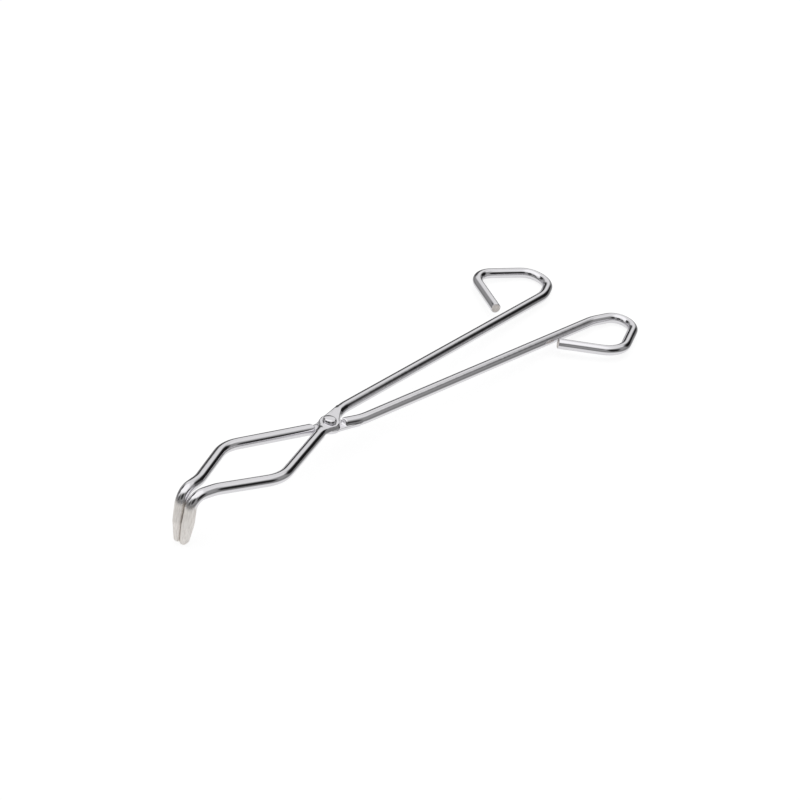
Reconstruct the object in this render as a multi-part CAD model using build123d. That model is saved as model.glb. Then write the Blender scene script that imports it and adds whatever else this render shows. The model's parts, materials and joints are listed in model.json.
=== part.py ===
from build123d import *
import os
from math import acos, asin, atan2, cos, degrees, hypot, radians, sin, tan

# Crucible tongs: two bent rods that lap at a riveted pivot, standing closed on the
# jaw tips and the finger loops. Every length is in millimetres.
#
# Each arm is drawn in the plane of the rods, with the pivot axis as Z and the handle
# towards +X. The upper arm has its handle on the +Y side and its jaw on the -Y side.

# Rod
rod_diameter = 5.0

# Corners of the jaw, each as far along the tongs from the one before it, the first from
# the pivot, and as far out from the middle, with the radius of its bend
lap_bend_reach = 16.8
lap_bend_out = 5.5
lap_bend_radius = 30.0
bow_reach = 53.7
bow_out = 15.5
bow_bend_radius = 21.0
nose_reach = 30.3
nose_out = 4.4
nose_bend_radius = 19.0

# Jaw tip: bent down from the nose, forged flat on its inner face, tapered and rounded
tip_reach = 13.4
tip_out = 2.6
tip_bend_radius = 5.3
tip_lean = 8.0
tip_root = 0.5
tip_drop = 23.4
tip_shoulder_drop = 14.0
tip_shoulder_width = 4.5
tip_shoulder_thickness = 4.5
tip_shoulder_corner = 1.6
tip_end_width = 3.6
tip_end_thickness = 2.9
tip_end_corner = 1.0
tip_end_bevel = 0.6
tip_gap = 0.1

# Handle: the shank leaves the lap bend outwards and eases into the finger loop, which is bent
# round its crown in two radii, runs back, turns in and ends in a straight leg. Turns are in
# degrees.
shank_splay = 2.9
upper_shank_length = 180.3
upper_ease_turn = 18.9
upper_ease_radius = 28.0
upper_front_run = 4.7
upper_front_turn = 67.9
upper_front_radius = 11.4
upper_crown_run = 0.3
upper_crown_turn = 61.3
upper_crown_radius = 7.9
upper_back_run = 17.3
upper_back_turn = 82.0
upper_back_radius = 12.8
upper_leg_length = 25.1
# The lower arm's loop is bent a little rounder
lower_shank_length = 179.6
lower_ease_turn = 12.2
lower_ease_radius = 30.0
lower_front_run = 8.0
lower_front_turn = 100.9
lower_front_radius = 7.1
lower_crown_run = 0.3
lower_crown_turn = 44.4
lower_crown_radius = 10.0
lower_back_run = 16.3
lower_back_turn = 68.5
lower_back_radius = 15.3
lower_leg_length = 21.5

# Lapped eyes: each arm is flattened to one side of the rods' plane round the pivot
eye_radius = 4.8
eye_thickness = 2.1
eye_draft = 20.0
eye_rim_fillet = 0.5
eye_handle_reach = 14.5
eye_jaw_reach = 10.5
eye_end_radius = 2.0
lap_gap = 0.1
lap_handle_reach = 8.0
lap_jaw_reach = 9.5
lap_step_lean = 30.0
lap_side_clearance = 0.3
flat_handle_reach = 11.0
flat_jaw_reach = 6.5
flat_lean = 65.0

# Pivot rivet
rivet_shank_diameter = 3.3
rivet_running_clearance = 0.05
rivet_fixed_clearance = 0.02
rivet_head_diameter = 6.0
rivet_head_height = 1.8
rivet_head_rim = 0.3
rivet_tail_diameter = 5.4
rivet_tail_height = 1.1
rivet_tail_rim = 0.2
rivet_head_clearance = 0.05

rod_radius = rod_diameter / 2
eye_top = lap_gap / 2 + eye_thickness
lap_bend_x = lap_bend_reach
bow_x = -bow_reach
nose_x = bow_x - nose_reach
tip_x = nose_x - tip_reach
# Each bend of a loop: the straight run before it, its turn and its radius
upper_loop_bends = [
    (0, upper_ease_turn, upper_ease_radius),
    (upper_front_run, upper_front_turn, upper_front_radius),
    (upper_crown_run, upper_crown_turn, upper_crown_radius),
    (upper_back_run, upper_back_turn, upper_back_radius),
]
lower_loop_bends = [
    (0, lower_ease_turn, lower_ease_radius),
    (lower_front_run, lower_front_turn, lower_front_radius),
    (lower_crown_run, lower_crown_turn, lower_crown_radius),
    (lower_back_run, lower_back_turn, lower_back_radius),
]
tip_direction = (sin(radians(tip_lean)), 0, -cos(radians(tip_lean)))


def along_tip(distance, y):
    """A point at a distance below the rods' plane, along the leaning jaw tip."""
    return (tip_x + distance * tip_direction[0], y, distance * tip_direction[2])


def jaw_line(shank_end):
    """Centreline from the jaw tip's root to the end of the shank."""
    bend_turn = radians(90 + tip_lean)
    bend_length = tip_bend_radius * tan(bend_turn / 2)
    points = [
        along_tip(bend_length + tip_root, -tip_out),
        along_tip(0, -tip_out),
        (nose_x, -nose_out, 0),
        (bow_x, -bow_out, 0),
        (lap_bend_x, lap_bend_out, 0),
        shank_end,
    ]
    radii = [tip_bend_radius, nose_bend_radius, bow_bend_radius, lap_bend_radius]
    return FilletPolyline(*points, radius=radii)


def handle_line(start, bends, leg_length):
    """Centreline of a finger loop, from the end of the shank to the cut end."""
    heading = shank_splay
    place = start
    pieces = []
    for run, turn, radius in bends:
        if run > 0:
            pieces.append(PolarLine(place, run, heading))
            place = pieces[-1] @ 1
        direction = (cos(radians(heading)), sin(radians(heading)))
        pieces.append(JernArc(place, direction, radius, turn))
        place = pieces[-1] @ 1
        heading += turn
    pieces.append(PolarLine(place, leg_length, heading))
    return pieces


def arm_path(shank_length, bends, leg_length):
    """Centreline of one arm, from the jaw tip's root to the cut end of its finger loop."""
    splay = radians(shank_splay)
    shank_end = (
        lap_bend_x + shank_length * cos(splay),
        lap_bend_out + shank_length * sin(splay),
        0,
    )
    runs = jaw_line(shank_end).edges()
    for piece in handle_line(shank_end, bends, leg_length):
        runs += piece.edges()
    return Wire(runs)


def arm_rod(path):
    """The round rod, swept along its centreline."""
    section = Plane(origin=path @ 1, z_dir=path % 1) * Circle(rod_radius)
    return sweep(section, path=path)


def tip_plane(distance):
    """A plane across the jaw tip, at a distance below the rods' plane."""
    lean = radians(tip_lean)
    return Plane(
        origin=along_tip(distance, 0),
        x_dir=(cos(lean), 0, sin(lean)),
        z_dir=(-sin(lean), 0, cos(lean)),
    )


def tip_section(distance, width, thickness, corner, inset=0):
    """Rounded section of the jaw tip, its inner side beside the middle plane, or inset all round."""
    beside = Pos(0, -(tip_gap + thickness) / 2)
    outline = RectangleRounded(width - 2 * inset, thickness - 2 * inset, corner - inset / 2)
    return tip_plane(distance) * beside * outline


def jaw_tip(path):
    """Forged jaw tip: round at the bend, then flat inside, tapered and bevelled at the end."""
    root = Plane(origin=path @ 0, z_dir=path % 0) * Circle(rod_radius)
    shoulder = tip_section(
        tip_shoulder_drop, tip_shoulder_width, tip_shoulder_thickness, tip_shoulder_corner
    )
    end_size = (tip_end_width, tip_end_thickness, tip_end_corner)
    bevel_start = tip_section(tip_drop - tip_end_bevel, *end_size)
    end = tip_section(tip_drop, *end_size, inset=tip_end_bevel)
    return loft([root, shoulder, bevel_start, end], ruled=True)


def plan_point(start, finish, x):
    """The point at x on the straight line between two plan points."""
    share = (x - start[0]) / (finish[0] - start[0])
    return (x, start[1] + share * (finish[1] - start[1]))


shank_start = (lap_bend_x, lap_bend_out)
bow_corner = (bow_x, -bow_out)


def eye_outline(end_radius, grown=0):
    """Plan outline of the eye, or grown all round: a round boss drawn out to the rod both ways."""
    handle = (eye_handle_reach, lap_bend_out)
    jaw = plan_point(shank_start, bow_corner, -eye_jaw_reach)
    rings = Circle(eye_radius + grown) + Pos(*handle) * Circle(end_radius + grown)
    rings += Pos(*jaw) * Circle(end_radius + grown)
    return make_hull(rings.edges())


def eye_plate():
    """The flattened eye above the rods' plane, drafted and with a rounded rim."""
    outline = Pos(0, 0, lap_gap / 2) * eye_outline(eye_end_radius)
    plate = extrude(outline, amount=eye_thickness, taper=eye_draft)
    rim = plate.faces().sort_by(Axis.Z)[-1].edges()
    return fillet(rim, eye_rim_fillet)


def lap_relief():
    """What is cut away below the eye, to let the other arm's eye and rod pass."""
    reach_out = 3 * rod_diameter
    own_side = Polygon(
        (lap_handle_reach, -reach_out),
        (lap_handle_reach, reach_out),
        (-lap_jaw_reach, reach_out),
        (-lap_jaw_reach, -reach_out),
        align=None,
    )
    depth = rod_diameter
    top = Pos(0, 0, lap_gap / 2)
    notch = extrude(top * own_side, amount=-depth, taper=-lap_step_lean)
    other_eye = mirror(eye_outline(rod_radius, lap_side_clearance), about=Plane.XZ)
    return notch + extrude(top * other_eye, amount=-depth)


def eye_flat():
    """What is cut off the top of the rod where the eye is forged flat."""
    length = flat_handle_reach + flat_jaw_reach
    middle = (flat_handle_reach - flat_jaw_reach) / 2
    face = Pos(middle, 0, eye_top) * Rectangle(length, 6 * rod_diameter)
    return extrude(face, amount=rod_diameter / 4, taper=-flat_lean)


def arm(path, eye_on_top, bore_clearance):
    """One arm with its handle on the +Y side."""
    rod = arm_rod(path)
    relief = lap_relief()
    plate = eye_plate()
    flat = eye_flat()
    bore = Cylinder(rivet_shank_diameter / 2 + bore_clearance, 4 * rod_diameter)
    if not eye_on_top:
        relief = mirror(relief, about=Plane.XY)
        plate = mirror(plate, about=Plane.XY)
        flat = mirror(flat, about=Plane.XY)
    return rod - relief - flat + plate + jaw_tip(path) - bore


def cap_arc(radius, rim_z, crown_z):
    """Half of a round cap's outline, from its rim to its crown on the pivot axis."""
    height = crown_z - rim_z
    ball_radius = (radius**2 + height**2) / (2 * abs(height))
    side = 1 if height > 0 else -1
    middle = crown_z - side * ball_radius
    turn = asin(radius / ball_radius) / 2
    halfway = (ball_radius * sin(turn), middle + side * ball_radius * cos(turn))
    return ThreePointArc((radius, rim_z), halfway, (0, crown_z))


def pivot_rivet():
    """Domed head, shank and peened tail, turned about the pivot axis."""
    shank_radius = rivet_shank_diameter / 2
    head_base = eye_top + rivet_head_clearance
    head_radius = rivet_head_diameter / 2
    tail_radius = rivet_tail_diameter / 2
    head_rim = head_base + rivet_head_rim
    tail_rim = -eye_top - rivet_tail_rim
    crown = cap_arc(head_radius, head_rim, head_base + rivet_head_height)
    peen = cap_arc(tail_radius, tail_rim, -eye_top - rivet_tail_height)
    sides = Polyline(
        peen @ 0,
        (tail_radius, -eye_top),
        (shank_radius, -eye_top),
        (shank_radius, head_base),
        (head_radius, head_base),
        crown @ 0,
    )
    middle_line = Line(crown @ 1, peen @ 1)
    profile = make_face([*crown.edges(), *peen.edges(), *sides.edges(), *middle_line.edges()])
    return revolve(Plane.XZ * profile, axis=Axis.Z)


def standing():
    """Turns the rods' plane down at the handles, until loops and tips share a floor."""
    loop_x = upper_path.bounding_box().max.X
    tip_end = along_tip(tip_drop, 0)
    run = loop_x - tip_end[0]
    drop = -tip_end[2]
    tilt = acos(rod_radius / hypot(run, drop)) - atan2(run, drop)
    return Rot(0, degrees(tilt), 0)


upper_path = arm_path(upper_shank_length, upper_loop_bends, upper_leg_length)
lower_path = arm_path(lower_shank_length, lower_loop_bends, lower_leg_length)
upper_arm = arm(upper_path, True, rivet_running_clearance)
lower_arm = mirror(arm(lower_path, False, rivet_fixed_clearance), about=Plane.XZ)
rivet = pivot_rivet()

stand = standing()
pieces = {"upper_arm": stand * upper_arm, "lower_arm": stand * lower_arm, "pivot_rivet": stand * rivet}
box = Compound(list(pieces.values())).bounding_box()
to_floor = Pos(-box.center().X, -box.center().Y, -box.min.Z)
os.makedirs("parts", exist_ok=True)
for name, piece in pieces.items():
    export_step(to_floor * piece, f"parts/{name}.step")
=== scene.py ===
import json
from math import cos, radians, sin, sqrt, tan

import bmesh
import bpy
import numpy as np
from mathutils import Matrix, Vector


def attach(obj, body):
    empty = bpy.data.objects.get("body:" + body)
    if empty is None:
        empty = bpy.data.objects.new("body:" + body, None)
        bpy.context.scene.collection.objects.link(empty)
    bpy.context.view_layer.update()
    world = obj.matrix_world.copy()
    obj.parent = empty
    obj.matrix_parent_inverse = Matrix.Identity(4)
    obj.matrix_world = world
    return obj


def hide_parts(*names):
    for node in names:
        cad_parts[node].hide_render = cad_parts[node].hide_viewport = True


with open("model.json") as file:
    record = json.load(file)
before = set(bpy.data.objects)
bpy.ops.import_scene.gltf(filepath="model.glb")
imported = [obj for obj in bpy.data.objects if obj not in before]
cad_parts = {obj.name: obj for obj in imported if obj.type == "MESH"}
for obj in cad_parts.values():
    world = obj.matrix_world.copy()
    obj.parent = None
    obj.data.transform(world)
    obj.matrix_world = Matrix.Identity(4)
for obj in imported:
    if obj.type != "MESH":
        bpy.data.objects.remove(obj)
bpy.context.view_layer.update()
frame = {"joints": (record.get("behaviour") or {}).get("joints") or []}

# Crucible tongs: two bent, plated rods that lap at a riveted pivot, closed, on a pale floor.
#
# The arms are shaped here in millimetres in the plane of the rods, with the pivot as
# origin, the handle towards +X and the pivot axis as Z, and are then set into the frame.
MM = 0.001
# Radius of the rod
ROD = 2.5

# Corners of an arm: x from the pivot, y towards the side that its handle is on, and the
# radius of the bend
LAP_BEND = (16.8, 5.5, 30.0)
BOW = (-53.7, -15.5, 21.0)
NOSE = (-84.0, -4.4, 19.0)
TIP = (-97.4, -2.6, 5.3)

# Jaw tip: its lean, and how far down it its root, shoulder and end are
TIP_LEAN = radians(8.0)
TIP_ROOT = 7.0
TIP_SHOULDER = 14.0
TIP_END = 23.4
TIP_MARKS = (TIP_ROOT, TIP_SHOULDER, TIP_END)
# Width, thickness, corner radius and forward shift of the tip at its root, shoulder and end
TIP_SECTIONS = ((5.0, 5.0, 2.5, 0.0), (5.2, 4.5, 1.7, 0.3), (4.0, 2.9, 1.1, 0.45))
# Length of the rounded end, and how much of it the sides and the corner radius draw in
TIP_ROUNDING = 0.9
TIP_SIDES_DRAW = 0.8
TIP_CORNER_DRAW = 0.5
# Half of the gap between the closed tips
TIP_GAP = 0.05

# Finger loops, bend by bend from the shank: straight run, turn in degrees, radius
SHANK_SPLAY = radians(2.9)
UPPER_SHANK = 180.3
UPPER_LOOP = ((0.0, 18.9, 28.0), (4.7, 67.9, 11.4), (0.3, 61.3, 7.9), (17.3, 82.0, 12.8))
UPPER_LEG = 25.1
LOWER_SHANK = 179.6
LOWER_LOOP = ((0.0, 12.2, 30.0), (8.0, 100.9, 7.1), (0.3, 44.4, 10.0), (16.3, 68.5, 15.3))
LOWER_LEG = 21.5

# Cut end of the rod: radius of its edge, the rod that it takes up, the rings that round the
# edge, and how far out on the flat the last ring is
CUT_EDGE = 0.3
CUT_LENGTH = 1.5 * CUT_EDGE
CUT_RINGS = 7
CUT_FLAT_SHARE = 0.97

# Eye: outline seen from above, thickness and draft of its sides
EYE_RADIUS = 4.95
EYE_END_RADIUS = 2.0
EYE_HANDLE_REACH = 14.5
EYE_JAW_REACH = 10.5
EYE_TOP = 2.15
EYE_DRAFT = radians(20)
# Notch that makes room for the other eye
LAP_FACE = 0.05
LAP_HANDLE_REACH = 6.2
LAP_JAW_REACH = 8.6
LAP_LEAN = radians(20)
LAP_CLEARANCE = 0.35
# Flat forged on top of the rod
FLAT_HANDLE_REACH = 11.0
FLAT_JAW_REACH = 6.5
FLAT_LEAN = radians(65)
# How widely creases are rounded: the eye's waist, its upper and lower rim, the ends of the
# flat, the steps of the notch, and where the eye runs into the rod
EYE_WAIST = 1.5
EYE_RIM = 0.5
EYE_LOWER_RIM = 0.35
FLAT_CREASE = 0.5
NOTCH_CREASE = 0.4
EYE_CREASE = 0.5
# Bore for the rivet, and the length of its cutter
BORE_RADIUS = 1.7
BORE_CUTTER = 12.0

# Pivot rivet: shank and domed head
SHANK_RADIUS = 1.65
HEAD_RADIUS = 3.1
HEAD_BASE = 2.2
HEAD_RIM = 0.75
HEAD_HEIGHT = 1.78
HEAD_CHAMFER = 0.08
# Crown of the head: its set-back from the rim, half the height of the bevel there, and the
# power of its rise, which is 1 for an ellipse
CROWN_SETBACK = 0.2
CROWN_BEVEL = 0.1
CROWN_POWER = 0.7
CROWN_POINTS = 16
# Peened tail
TAIL_RADIUS = 2.7
TAIL_RIM = 0.25
TAIL_HEIGHT = 1.08
TAIL_CHAMFER = 0.06
TAIL_POINTS = 12

# Sides of a circle in the rivet, the bore and the floor
ROUND = 96
# Distances below which two points are one, on a line and in the rivet's mesh
SAME_POINT = 1e-6
WELD = 1e-4

# Camera: its place from the point that it looks at, which is measured from the pivot
AIM = (42.44, -7.9)
CAMERA_DISTANCE = 1147.4
CAMERA_AZIMUTH = radians(-150.135)
CAMERA_ELEVATION = radians(30.673)
CAMERA_ROLL = radians(-11.44)
LENS = 117.0

joint = frame["joints"][0]
pivot = Vector(joint["pos_m"])
axis = Vector(joint["axis"]).normalized()


def rods_plane():
    """Places the plane of the rods, drawn in millimetres, in the frame."""
    sideways = Vector((0, 1, 0))
    turn = Matrix((sideways.cross(axis), sideways, axis)).transposed().to_4x4()
    return Matrix.Translation(pivot) @ turn @ Matrix.Scale(MM, 4)


def make_piece(name, mesh, materials):
    """An object made from a mesh under construction."""
    data = bpy.data.meshes.new(name)
    mesh.to_mesh(data)
    mesh.free()
    for material in materials:
        data.materials.append(material)
    piece = bpy.data.objects.new(name, data)
    bpy.context.collection.objects.link(piece)
    return piece


# Centrelines

# Spacing of a centreline's points, and how many of them a bend eases over
FINE = 0.1
BEND_EASE = 12


def steps_round(radius, turn):
    """How many steps a bend takes, for a turn in radians."""
    return int(np.ceil(radius * turn / FINE))


def rounded(corners, radii):
    """Points along straight runs joined by bends."""
    corners = [np.array(corner, float) for corner in corners]
    line = [corners[0]]
    for before, corner, after, radius in zip(corners, corners[1:], corners[2:], radii):
        back = (before - corner) / np.linalg.norm(before - corner)
        ahead = (after - corner) / np.linalg.norm(after - corner)
        turn = np.pi - np.arccos(np.clip(back @ ahead, -1, 1))
        reach = radius * np.tan(turn / 2)
        inward = (back + ahead) / np.linalg.norm(back + ahead)
        middle = corner + inward * radius / np.cos(turn / 2)
        start = (corner + back * reach - middle) / radius
        for angle in np.linspace(0, turn, steps_round(radius, turn) + 1):
            line.append(middle + radius * (start * np.cos(angle) - back * np.sin(angle)))
    line.append(corners[-1])
    return line


def loop_line(start, bends, leg):
    """Points along a finger loop, from the end of the shank to the cut end."""
    heading = SHANK_SPLAY
    place = np.array(start, float)
    line = []
    for run, turn, radius in bends:
        turn = radians(turn)
        place = place + run * np.array((cos(heading), sin(heading), 0))
        middle = place + radius * np.array((-sin(heading), cos(heading), 0))
        for angle in heading + np.linspace(0, turn, steps_round(radius, turn) + 1):
            line.append(middle + radius * np.array((sin(angle), -cos(angle), 0)))
        heading += turn
        place = line[-1]
    line.append(place + leg * np.array((cos(heading), sin(heading), 0)))
    return line


def reach_along(line):
    """How far along the line each of its points is."""
    return np.concatenate(([0], np.cumsum(np.linalg.norm(np.diff(line, axis=0), axis=1))))


def evenly(line):
    """The same line with its points evenly spaced."""
    line = np.array(line)
    gaps = np.linalg.norm(np.diff(line, axis=0), axis=1)
    line = line[np.concatenate(([True], gaps > SAME_POINT))]
    reach = reach_along(line)
    marks = np.linspace(0, reach[-1], int(reach[-1] / FINE) + 1)
    return np.stack([np.interp(marks, reach, line[:, k]) for k in range(3)], axis=1)


def bell(reach, spread):
    """Weights of a bell curve, which add up to 1."""
    weights = np.exp(-0.5 * (np.arange(-reach, reach + 1) / spread) ** 2)
    return weights / weights.sum()


def eased(line):
    """The line with its bends eased into the straight runs, as a cold bend is."""
    reach = 3 * BEND_EASE
    weights = bell(reach, BEND_EASE)
    first = 2 * line[0] - line[reach:0:-1]
    last = 2 * line[-1] - line[-2 : -reach - 2 : -1]
    padded = np.concatenate((first, line, last))
    return np.stack([np.convolve(padded[:, k], weights, mode="valid") for k in range(3)], axis=1)


def arm_line(shank, bends, leg):
    """Centreline of an arm with its handle on the +Y side, from the jaw tip to the cut end."""
    down = np.array((sin(TIP_LEAN), 0, -cos(TIP_LEAN)))
    shank_end = (LAP_BEND[0] + shank * cos(SHANK_SPLAY), LAP_BEND[1] + shank * sin(SHANK_SPLAY), 0)
    top = np.array((TIP[0], TIP[1], 0))
    corners = [top + TIP_END * down, top]
    corners += [(x, y, 0) for x, y, _ in (NOSE, BOW, LAP_BEND)]
    corners.append(shank_end)
    line = rounded(corners, [radius for _, _, radius in (TIP, NOSE, BOW, LAP_BEND)])
    line += loop_line(shank_end, bends, leg)
    return eased(evenly(line))


# Solids as distances, in millimetres: below zero inside


def larger(a, b, blend):
    """The larger of two distances, with the crease between them rounded."""
    mix = np.clip(0.5 - 0.5 * (b - a) / blend, 0, 1)
    return b + (a - b) * mix + blend * mix * (1 - mix)


def smaller(a, b, blend):
    """The smaller of two distances, with the crease between them rounded."""
    return -larger(-a, -b, blend)


def past_wall(out, rise, lean):
    """Distance past a wall that leans outwards as it rises."""
    return (out - rise * tan(lean)) * cos(lean)


def drawn_out(x, y, end, end_radius):
    """Distance from the eye's disc, drawn out to a smaller disc at its end."""
    length = np.hypot(*end)
    along = (x * end[0] + y * end[1]) / length
    across = np.abs(-x * end[1] + y * end[0]) / length
    lean = (EYE_RADIUS - end_radius) / length
    side = sqrt(1 - lean * lean)
    at = np.clip((along + across * lean / side) / length, 0, 1)
    radius = EYE_RADIUS + (end_radius - EYE_RADIUS) * at
    return np.hypot(along - at * length, across) - radius


def eye_plan(x, y, end_radius):
    """Distance from the eye's outline, seen from above."""
    slope = (LAP_BEND[1] - BOW[1]) / (LAP_BEND[0] - BOW[0])
    jaw = (-EYE_JAW_REACH, LAP_BEND[1] - slope * (LAP_BEND[0] + EYE_JAW_REACH))
    handle = (EYE_HANDLE_REACH, LAP_BEND[1])
    handle_side = drawn_out(x, y, handle, end_radius)
    jaw_side = drawn_out(x, y, jaw, end_radius)
    return smaller(handle_side, jaw_side, EYE_WAIST)


def eye_and_rod(place, rod):
    """Distance from the lapped eye and the rod that runs into it, with the eye on top."""
    x, y, z = place
    over_top = z - EYE_TOP
    flat = np.maximum(-over_top, past_wall(x - FLAT_HANDLE_REACH, over_top, FLAT_LEAN))
    flat = np.maximum(flat, past_wall(-x - FLAT_JAW_REACH, over_top, FLAT_LEAN))
    over_lap = z - LAP_FACE
    notch = np.maximum(over_lap, past_wall(x - LAP_HANDLE_REACH, -over_lap, LAP_LEAN))
    notch = np.maximum(notch, past_wall(-x - LAP_JAW_REACH, -over_lap, LAP_LEAN))
    other_eye = np.maximum(over_lap, eye_plan(x, -y, ROD) - LAP_CLEARANCE)
    notch = np.minimum(notch, other_eye)
    forged = larger(larger(rod, -flat, FLAT_CREASE), -notch, NOTCH_CREASE)
    sides = past_wall(eye_plan(x, y, EYE_END_RADIUS), -over_lap, EYE_DRAFT)
    plate = larger(larger(sides, over_top, EYE_RIM), -over_lap, EYE_LOWER_RIM)
    return smaller(forged, plate, EYE_CREASE)


def tip_centre(distance):
    """How far out from the middle the tip's section is centred."""
    centres = [-TIP[1]] + [TIP_GAP + section[1] / 2 for section in TIP_SECTIONS[1:]]
    return -np.interp(distance, TIP_MARKS, centres)


def tip_block(distance, across, along_y):
    """Distance from the forged tip's section, at a distance below the rods' plane."""
    width, thick, corner, shift = (np.interp(distance, TIP_MARKS, sizes) for sizes in zip(*TIP_SECTIONS))
    left = TIP_END - distance
    if left < TIP_ROUNDING:
        inset = TIP_ROUNDING - sqrt(TIP_ROUNDING**2 - (TIP_ROUNDING - left) ** 2)
        width -= 2 * inset * TIP_SIDES_DRAW
        thick -= 2 * inset * TIP_SIDES_DRAW
        corner -= inset * TIP_CORNER_DRAW
    out_x = np.abs(across + shift) - (width / 2 - corner)
    out_y = np.abs(along_y - tip_centre(distance)) - (thick / 2 - corner)
    outside = np.hypot(np.maximum(out_x, 0), np.maximum(out_y, 0))
    return outside + np.minimum(np.maximum(out_x, out_y), 0) - corner


# Skinning an arm: closed rings, each cast outwards from a point inside the solid

# Points of a ring, rays that find its outline, how far they reach, and how often each is halved
RING = 144
RAYS = 720
RAY_REACH = 9.0
HALVINGS = 22
# How far from the pivot the eye's rings go, and how near the rods' plane they are
EYE_REACH = 18.0
IN_PLANE = 1e-3
# Where the lift of the eye's rings starts on each side of the pivot, and over what length it rises
LIFT_HANDLE_START = 12.5
LIFT_JAW_START = 14.0
LIFT_LENGTH = 6.0
# Spacing of the rings: on straight runs, in degrees of a bend, in the eye, in the tip and at
# the tip's rounded end
RUN_SPACING = 6.0
BEND_SPACING = 3.0
EYE_SPACING = 0.25
TIP_SPACING = 0.5
TIP_END_SPACING = 0.1
# Points of the fine line over which one spacing eases into the next, and how far that reaches
SPACING_EASE = 12
SPACING_EASE_REACH = 30


def directions(line):
    """Unit vectors along the line at its points."""
    ahead = np.gradient(line, axis=0)
    return ahead / np.linalg.norm(ahead, axis=1, keepdims=True)


def stations(line):
    """Which points of the fine line carry a ring: close together where the shape changes."""
    ahead = directions(line)
    turn = np.degrees(np.arccos(np.clip((ahead[1:] * ahead[:-1]).sum(1), -1, 1)))
    flat = np.abs(line[:, 2]) < IN_PLANE
    near_eye = flat & (np.abs(line[:, 0]) < EYE_REACH)
    density = 1 / RUN_SPACING + np.concatenate(([0], turn)) / FINE / BEND_SPACING
    density[near_eye] = 1 / EYE_SPACING
    density[~flat] = np.maximum(density[~flat], 1 / TIP_SPACING)
    density[:int(2 * TIP_ROUNDING / FINE)] = 1 / TIP_END_SPACING
    spread = np.convolve(density, bell(SPACING_EASE_REACH, SPACING_EASE), mode="same")
    density = np.maximum(density, spread)
    total = np.concatenate(([0], np.cumsum(density[1:] * FINE)))
    marks = np.linspace(0, total[-1], int(np.ceil(total[-1])) + 1)
    return np.unique(np.searchsorted(total, marks).clip(0, len(line) - 1))


def eye_lift(x):
    """How far above the rods' plane a ring near the eye is centred, to stay inside it."""
    if x > 0:
        share = (LIFT_HANDLE_START - x) / LIFT_LENGTH
    else:
        share = (LIFT_JAW_START + x) / LIFT_LENGTH
    share = min(1.0, max(0.0, share))
    return (EYE_TOP + LAP_FACE) / 2 * share * share * (3 - 2 * share)


def rod_section(flat):
    """Distance from the round rod, at points across and over its centreline."""
    return np.hypot(flat[:, 0], flat[:, 1]) - ROD


def tip_section(centre, across, distance):
    """Section of the forged tip as a function of such points, and a point inside it."""
    def section(flat):
        return tip_block(distance, flat[:, 1], centre[1] + flat[:, 0] * across[1])

    return section, np.array(((tip_centre(distance) - centre[1]) * np.sign(across[1]), 0.0))


def eye_section(centre, across, over, side):
    """Section of the eye and its rod as a function of such points, and a point inside it."""
    def section(flat):
        place = centre[:, None] + across[:, None] * flat[:, 0] + over[:, None] * flat[:, 1]
        place[2] *= side
        return eye_and_rod(place, rod_section(flat))

    return section, np.array((0.0, side * eye_lift(centre[0]) * np.sign(over[2])))


def cast(section, inner):
    """Outline of a section, found on rays from a point inside it."""
    angles = np.linspace(0, 2 * np.pi, RAYS, endpoint=False)
    rays = np.stack((np.cos(angles), np.sin(angles)), axis=1)
    near, far = np.zeros(RAYS), np.full(RAYS, RAY_REACH)
    for _ in range(HALVINGS):
        middle = (near + far) / 2
        outside = section(inner + rays * middle[:, None]) > 0
        far = np.where(outside, middle, far)
        near = np.where(outside, near, middle)
    return inner + rays * near[:, None]


def spaced_ring(outline):
    """The ring's points spread evenly along its outline, from the same side each time."""
    closed = np.concatenate((outline, outline[:1]))
    reach = reach_along(closed)
    marks = np.arange(RING) / RING * reach[-1]
    return np.stack([np.interp(marks, reach, closed[:, k]) for k in range(2)], axis=1)


def arm_rings(line, side):
    """Rings of an arm, and how far along it each is. side is 1 where the arm's eye is on top
    of the other and -1 where it is below."""
    ahead = directions(line)
    across = np.array((0.0, -1.0, 0.0))
    rings = []
    reach = []
    for index in stations(line):
        centre = line[index]
        direction = ahead[index]
        across = across - direction * (across @ direction)
        across /= np.linalg.norm(across)
        over = np.cross(direction, across)
        along = index * FINE
        if along < TIP_END - TIP_ROOT:
            section, inner = tip_section(centre, across, TIP_END - along)
        elif abs(centre[2]) < IN_PLANE and abs(centre[0]) < EYE_REACH:
            section, inner = eye_section(centre, across, over, side)
        else:
            section, inner = rod_section, np.zeros(2)
        outline = spaced_ring(cast(section, inner))
        rings.append(centre + outline[:, :1] * across + outline[:, 1:] * over)
        reach.append(along)
    return rings, reach


def cut_end(line, rings, reach):
    """Replaces the last stretch of rod by a flat cut end with a slightly rounded edge."""
    ahead = line[-1] - line[-2]
    ahead /= np.linalg.norm(ahead)
    middle = line[-1]
    while np.linalg.norm(rings[-1].mean(axis=0) - middle) < CUT_LENGTH:
        rings.pop()
        reach.pop()
    shape = rings[-1] - rings[-1].mean(axis=0)
    shape /= np.linalg.norm(shape, axis=1, keepdims=True)
    for angle in np.linspace(0, np.pi / 2, CUT_RINGS):
        out = ROD - CUT_EDGE * (1 - cos(angle))
        back = CUT_EDGE * (1 - sin(angle))
        rings.append(middle - ahead * back + shape * out)
        reach.append(len(line) * FINE - back)
    rings.append(middle + shape * (ROD - CUT_EDGE) * CUT_FLAT_SHARE)
    reach.append(len(line) * FINE)


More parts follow.
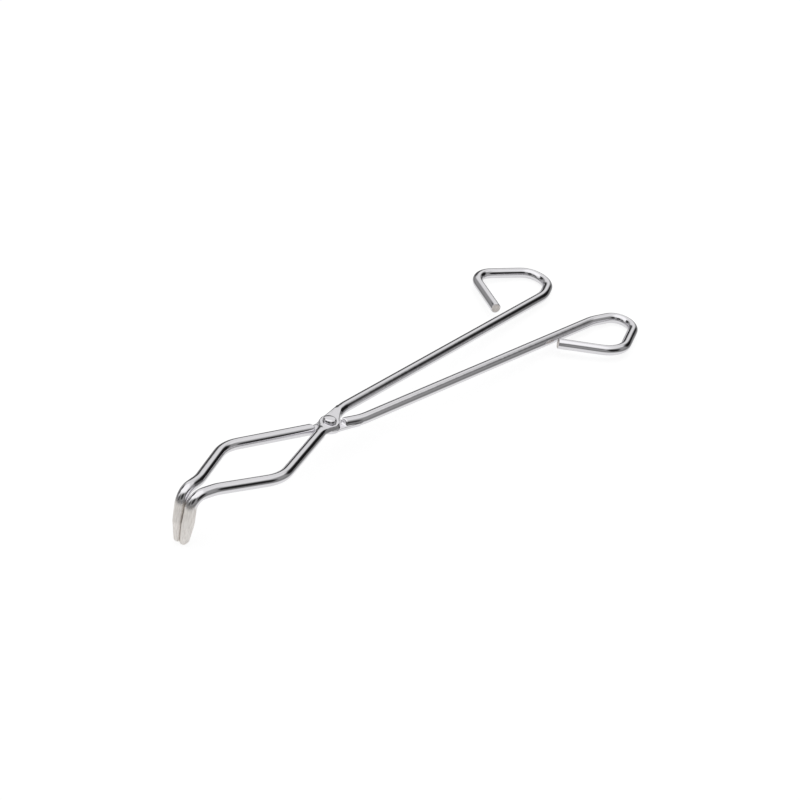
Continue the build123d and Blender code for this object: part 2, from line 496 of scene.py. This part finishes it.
def skin(name, rings, reach, materials):
    """A closed mesh through the rings, with the place along and round the arm as UVs. The
    first material covers it, and the second covers its cut end."""
    mesh = bmesh.new()
    uv = mesh.loops.layers.uv.new("rod")
    rows = [[mesh.verts.new(point) for point in ring] for ring in rings]
    for lower, upper, start, stop in zip(rows, rows[1:], reach, reach[1:]):
        for k in range(RING):
            after = (k + 1) % RING
            face = mesh.faces.new((lower[k], lower[after], upper[after], upper[k]))
            places = ((k, start), (k + 1, start), (k + 1, stop), (k, stop))
            for loop, (turn, along) in zip(face.loops, places):
                loop[uv].uv = (turn / RING, along * MM)
    for row, along, at_tip in ((rows[0], reach[0], True), (rows[-1], reach[-1], False)):
        centre = mesh.verts.new(sum((vert.co for vert in row), Vector()) / RING)
        for k in range(RING):
            corners = [row[k], row[(k + 1) % RING], centre]
            if at_tip:
                corners.reverse()
            face = mesh.faces.new(corners)
            face.material_index = 0 if at_tip else 1
            for loop in face.loops:
                loop[uv].uv = (0.5, along * MM)
    for face in mesh.faces:
        face.smooth = True
    bmesh.ops.recalc_face_normals(mesh, faces=mesh.faces)
    return make_piece(name, mesh, materials)


def bore(piece):
    """Cuts the rivet's bore through the eye."""
    bpy.ops.mesh.primitive_cylinder_add(vertices=ROUND, radius=BORE_RADIUS, depth=BORE_CUTTER)
    cutter = bpy.context.object
    hole = piece.modifiers.new("bore", "BOOLEAN")
    hole.object = cutter
    hole.solver = "EXACT"
    with bpy.context.temp_override(object=piece):
        bpy.ops.object.modifier_apply(modifier="bore")
    bpy.data.objects.remove(cutter)


def make_arm(name, shank, bends, leg, side, materials):
    """One arm of the tongs, set into the frame. Its side is 1 for the upper arm and -1 for the
    lower one, whose handle is on the other side."""
    line = arm_line(shank, bends, leg)
    rings, reach = arm_rings(line, side)
    cut_end(line, rings, reach)
    piece = skin(name, [ring * (1, side, 1) for ring in rings], reach, materials)
    bore(piece)
    piece.data.transform(rods_plane())
    return piece


def rivet_profile():
    """Half of the rivet's outline, from the top of its head down to the end of its tail."""
    crown_base = HEAD_BASE + HEAD_RIM + CROWN_BEVEL
    crown_height = HEAD_HEIGHT - HEAD_RIM - CROWN_BEVEL
    profile = [(0.0, HEAD_BASE + HEAD_HEIGHT)]
    for angle in np.linspace(0, np.pi / 2, CROWN_POINTS)[1:]:
        out = (HEAD_RADIUS - CROWN_SETBACK) * sin(angle)
        profile.append((out, crown_base + crown_height * cos(angle) ** CROWN_POWER))
    tail_rim = -EYE_TOP - TAIL_RIM
    profile += [
        (HEAD_RADIUS, HEAD_BASE + HEAD_RIM - CROWN_BEVEL),
        (HEAD_RADIUS, HEAD_BASE + HEAD_CHAMFER),
        (HEAD_RADIUS - HEAD_CHAMFER, HEAD_BASE),
        (SHANK_RADIUS, HEAD_BASE),
        (SHANK_RADIUS, -EYE_TOP),
        (TAIL_RADIUS - TAIL_CHAMFER, -EYE_TOP),
        (TAIL_RADIUS, -EYE_TOP - TAIL_CHAMFER),
        (TAIL_RADIUS, tail_rim),
    ]
    for angle in np.linspace(0, np.pi / 2, TAIL_POINTS)[1:]:
        profile.append((TAIL_RADIUS * cos(angle), tail_rim - (TAIL_HEIGHT - TAIL_RIM) * sin(angle)))
    return profile


def make_rivet(name, material):
    """Domed head, shank and peened tail, turned about the pivot axis."""
    mesh = bmesh.new()
    verts = [mesh.verts.new((out, 0, z)) for out, z in rivet_profile()]
    edges = [mesh.edges.new(pair) for pair in zip(verts, verts[1:])]
    bmesh.ops.spin(
        mesh, geom=verts + edges, cent=(0, 0, 0), axis=(0, 0, 1), angle=2 * np.pi, steps=ROUND
    )
    bmesh.ops.remove_doubles(mesh, verts=mesh.verts, dist=WELD)
    bmesh.ops.recalc_face_normals(mesh, faces=mesh.faces)
    for face in mesh.faces:
        face.smooth = True
    piece = make_piece(name, mesh, [material])
    piece.data.transform(rods_plane())
    return piece


# Shader maths


class Wire:
    """A node's output, on which arithmetic adds the Math nodes."""

    def __init__(self, tree, socket):
        self.tree = tree
        self.socket = socket

    def __add__(self, other):
        return self.tree.maths("ADD", self, other)

    def __sub__(self, other):
        return self.tree.maths("SUBTRACT", self, other)

    def __rsub__(self, other):
        return self.tree.maths("SUBTRACT", other, self)

    def __mul__(self, other):
        return self.tree.maths("MULTIPLY", self, other)

    __radd__ = __add__
    __rmul__ = __mul__

    def step(self, low, high):
        """0 below low, 1 above high and a smooth rise between them."""
        settings = {"interpolation_type": "SMOOTHSTEP"}
        values = {"Value": self, "From Min": low, "From Max": high}
        return self.tree.add("ShaderNodeMapRange", settings, values)


class Tree:
    """Adds nodes to the tree of a material or of the world."""

    def __init__(self, owner):
        owner.use_nodes = True
        self.nodes = owner.node_tree.nodes
        self.links = owner.node_tree.links

    def add(self, kind, settings=(), values=(), out=0):
        """A node with its settings made first, then its sockets' values or links."""
        node = self.nodes.new(kind)
        for name, value in dict(settings).items():
            setattr(node, name, value)
        for name, value in dict(values).items():
            self.feed(node.inputs[name], value)
        return Wire(self, node.outputs[out])

    def feed(self, socket, value):
        """Sets a socket, or links it."""
        if isinstance(value, Wire):
            self.links.new(value.socket, socket)
        else:
            socket.default_value = value

    def maths(self, operation, first, second):
        """One sum on two numbers."""
        return self.add("ShaderNodeMath", {"operation": operation}, {0: first, 1: second})

    def noise(self, place, scale, detail):
        """Cloudy noise with a scale per metre."""
        values = {"Vector": place, "Scale": scale, "Detail": detail}
        return self.add("ShaderNodeTexNoise", {}, values, out="Fac")

    def blend(self, share, first, second):
        """A colour between two others."""
        values = {"Factor": share, 6: first, 7: second}
        return self.add("ShaderNodeMix", {"data_type": "RGBA"}, values, out=2)


# Materials

# Bright plating: colour, roughness, what the haze adds to it, and the height of its ripple
PLATING = (0.82, 0.81, 0.835, 1.0)
PLATING_ROUGHNESS = 0.035
HAZE_ROUGHNESS = 0.05
RIPPLE_STRENGTH = 0.12
RIPPLE_HEIGHT = 0.0004
# Satin of the jaw tips: colours, roughness, and what its streaks add to roughness and ripple
SATIN_DARK = (0.76, 0.725, 0.69, 1.0)
SATIN_LIGHT = (0.95, 0.915, 0.88, 1.0)
SATIN_ROUGHNESS = 0.30
STREAK_ROUGHNESS = 0.10
STREAK_RIPPLE = 0.15
# How the streaks are squeezed, which draws them out along the tip
STREAK_SQUEEZE = (1.0, 1.0, 0.1)
# Where the satin ends, in millimetres from the tip's end, and how it fades there
SATIN_END = 20.8
SATIN_FADE = 3.0
SATIN_RAGGED = 5.0
# Sawn end of the rod: colour, roughness and what its grain adds to it
SAWN_STEEL = (0.80, 0.76, 0.72, 1.0)
SAWN_ROUGHNESS = 0.4
GRAIN_ROUGHNESS = 0.2


def metal(name):
    """A new metal, its nodes, its shader and the place on the object."""
    material = bpy.data.materials.new(name)
    tree = Tree(material)
    shader = tree.nodes["Principled BSDF"]
    shader.inputs["Metallic"].default_value = 1.0
    return material, tree, shader, tree.add("ShaderNodeTexCoord", out="Object")


def plated_metal(name, satin_tip):
    """Bright plated steel, drawn and bent, with a satin forged tip where it has one."""
    material, tree, shader, place = metal(name)
    ripple = tree.noise(place, scale=160.0, detail=3.0)
    haze = tree.noise(place, scale=900.0, detail=4.0)
    rough = PLATING_ROUGHNESS + HAZE_ROUGHNESS * haze.step(low=0.35, high=0.75)
    colour = PLATING
    if satin_tip:
        drawn = tree.add("ShaderNodeVectorMath", {"operation": "MULTIPLY"}, {0: place, 1: STREAK_SQUEEZE})
        streak = tree.noise(drawn, scale=2200.0, detail=2.0)
        uv = tree.add("ShaderNodeUVMap", {"uv_map": "rod"})
        along = tree.add("ShaderNodeSeparateXYZ", {}, {"Vector": uv}, out="Y")
        ragged = along + (streak - 0.5) * SATIN_RAGGED * MM
        tip = 1 - ragged.step((SATIN_END - SATIN_FADE) * MM, SATIN_END * MM)
        satin = tree.blend(streak.step(low=0.3, high=0.7), SATIN_DARK, SATIN_LIGHT)
        colour = tree.blend(tip, PLATING, satin)
        rough = rough + tip * (SATIN_ROUGHNESS + STREAK_ROUGHNESS * streak)
        ripple = ripple + streak * tip * STREAK_RIPPLE
    relief = {"Strength": RIPPLE_STRENGTH, "Distance": RIPPLE_HEIGHT, "Height": ripple}
    bump = tree.add("ShaderNodeBump", {}, relief, out="Normal")
    for socket, value in (("Base Color", colour), ("Roughness", rough), ("Normal", bump)):
        tree.feed(shader.inputs[socket], value)
    return material


def cut_steel(name):
    """The sawn end of the rod: duller and a little warmer than the plating."""
    material, tree, shader, place = metal(name)
    shader.inputs["Base Color"].default_value = SAWN_STEEL
    grain = tree.noise(place, scale=1500.0, detail=3.0)
    tree.feed(shader.inputs["Roughness"], SAWN_ROUGHNESS + GRAIN_ROUGHNESS * grain)
    return material


# Room: pale floor, camera and a soft studio light all round

# Radius of the floor in metres
FLOOR_RADIUS = 6.0
# Brightness that the floor has of its own, to the camera and in the metal's reflections, and
# between which slants it fades in these
FLOOR_SEEN = 0.83
FLOOR_REFLECTED = 0.65
FLOOR_FADE = (0.48, 0.80)


def floor_material():
    """Plain pale floor, evenly lit, that darkens towards the horizon in the metal's reflections."""
    material = bpy.data.materials.new("pale_floor")
    tree = Tree(material)
    shader = tree.nodes["Principled BSDF"]
    shader.inputs["Base Color"].default_value = (0.3, 0.3, 0.3, 1.0)
    shader.inputs["Roughness"].default_value = 0.9
    shader.inputs["Specular IOR Level"].default_value = 0.0
    shader.inputs["Emission Color"].default_value = (1.0, 1.0, 1.0, 1.0)
    grazing = tree.add("ShaderNodeLayerWeight", {}, {"Blend": 0.5}, out="Facing")
    seen = tree.add("ShaderNodeLightPath", out="Is Camera Ray")
    reflected = FLOOR_REFLECTED * (1 - grazing.step(*FLOOR_FADE))
    tree.feed(shader.inputs["Emission Strength"], FLOOR_SEEN * seen + reflected * (1 - seen))
    return material


def make_floor():
    """A round floor, wide enough to fill the picture from any side."""
    mesh = bmesh.new()
    bmesh.ops.create_circle(mesh, cap_ends=True, radius=FLOOR_RADIUS, segments=ROUND)
    make_piece("floor", mesh, [floor_material()])


# Room above the floor: brightness of its walls and ceiling, and the elevations in degrees
# between which the one rises to the other
WALL = 0.30
CEILING = 1.12
CEILING_RISE = (30, 68)
# Windows and dark corners: azimuth and elevation in degrees, how far each reaches to its
# faded edge, and its brightness
WINDOWS_AND_CORNERS = {
    "wide window": (34, 30, 33, 0.82),
    "far skirting": (42, 0, 24, 0.03),
    "high window": (122, 50, 32, 1.15),
    "glass door": (132, 24, 18, 0.75),
    "high right window": (-14, 47, 20, 0.85),
    "far right corner": (-13, 13, 24, 0.01),
    "left doorway": (-82, 20, 28, 0.02),
    "camera side": (-152, 29, 27, 0.04),
    "near corner": (-118, 38, 12, 0.2),
    "tall gap": (93, 35, 17, 0.02),
    "low gap": (106, 18, 16, 0.05),
    "back corner": (160, 10, 24, 0.10),
}
# How much of its reach a window or corner fills before it starts to fade
PLAIN_SHARE = 0.45
# Brightness of the plain white behind the object, seen by the camera alone
BEHIND = 1.2


def towards(azimuth, elevation):
    """Unit vector in a direction given by its angles in radians."""
    flat = cos(elevation)
    return cos(azimuth) * flat, sin(azimuth) * flat, sin(elevation)


def make_light():
    """A soft studio: pale ceiling, dimmer walls, windows and corners, and plain white behind."""
    world = bpy.data.worlds.new("studio")
    bpy.context.scene.world = world
    tree = Tree(world)
    shader = tree.nodes["Background"]
    shader.inputs["Color"].default_value = (1.0, 1.0, 1.0, 1.0)
    direction = tree.add("ShaderNodeTexCoord", out="Generated")
    height = tree.add("ShaderNodeSeparateXYZ", {}, {"Vector": direction}, out="Z")
    low, high = (sin(radians(elevation)) for elevation in CEILING_RISE)
    level = WALL + (CEILING - WALL) * height.step(low, high)
    for azimuth, elevation, reach, brightness in WINDOWS_AND_CORNERS.values():
        facing = {0: direction, 1: towards(radians(azimuth), radians(elevation))}
        near = tree.add("ShaderNodeVectorMath", {"operation": "DOT_PRODUCT"}, facing, out="Value")
        mask = near.step(cos(radians(reach)), cos(radians(reach * PLAIN_SHARE)))
        level = level * (1 - mask) + brightness * mask
    seen = tree.add("ShaderNodeLightPath", out="Is Camera Ray")
    tree.feed(shader.inputs["Strength"], level * (1 - seen) + BEHIND * seen)


def make_camera():
    """Camera at the photograph's viewing angle."""
    aim = pivot + Vector((*AIM, 0)) * MM
    back = Vector(towards(CAMERA_AZIMUTH, CAMERA_ELEVATION))
    right = Vector((0, 0, 1)).cross(back).normalized()
    over = back.cross(right)
    tilted_up = over * cos(CAMERA_ROLL) + right * sin(CAMERA_ROLL)
    tilted_right = right * cos(CAMERA_ROLL) - over * sin(CAMERA_ROLL)
    turn = Matrix((tilted_right, tilted_up, back)).transposed().to_4x4()
    data = bpy.data.cameras.new("camera")
    data.lens = LENS
    data.sensor_width = 36.0
    data.clip_start = 0.01
    camera = bpy.data.objects.new("camera", data)
    camera.matrix_world = Matrix.Translation(aim + back * CAMERA_DISTANCE * MM) @ turn
    bpy.context.collection.objects.link(camera)
    bpy.context.scene.camera = camera


make_camera()
make_floor()
make_light()
bpy.context.scene.view_settings.view_transform = "Standard"

plating = plated_metal("bright_plating", True)
rivet_plating = plated_metal("rivet_plating", False)
cut = cut_steel("sawn_steel")

upper_arm = make_arm("upper_arm_rod", UPPER_SHANK, UPPER_LOOP, UPPER_LEG, 1, (plating, cut))
lower_arm = make_arm("lower_arm_rod", LOWER_SHANK, LOWER_LOOP, LOWER_LEG, -1, (plating, cut))
rivet = make_rivet("pivot_rivet_turned", rivet_plating)

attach(upper_arm, "upper_arm")
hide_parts("upper_arm")
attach(lower_arm, "lower_arm")
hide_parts("lower_arm")
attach(rivet, "lower_arm")
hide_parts("pivot_rivet")

bpy.context.view_layer.update()
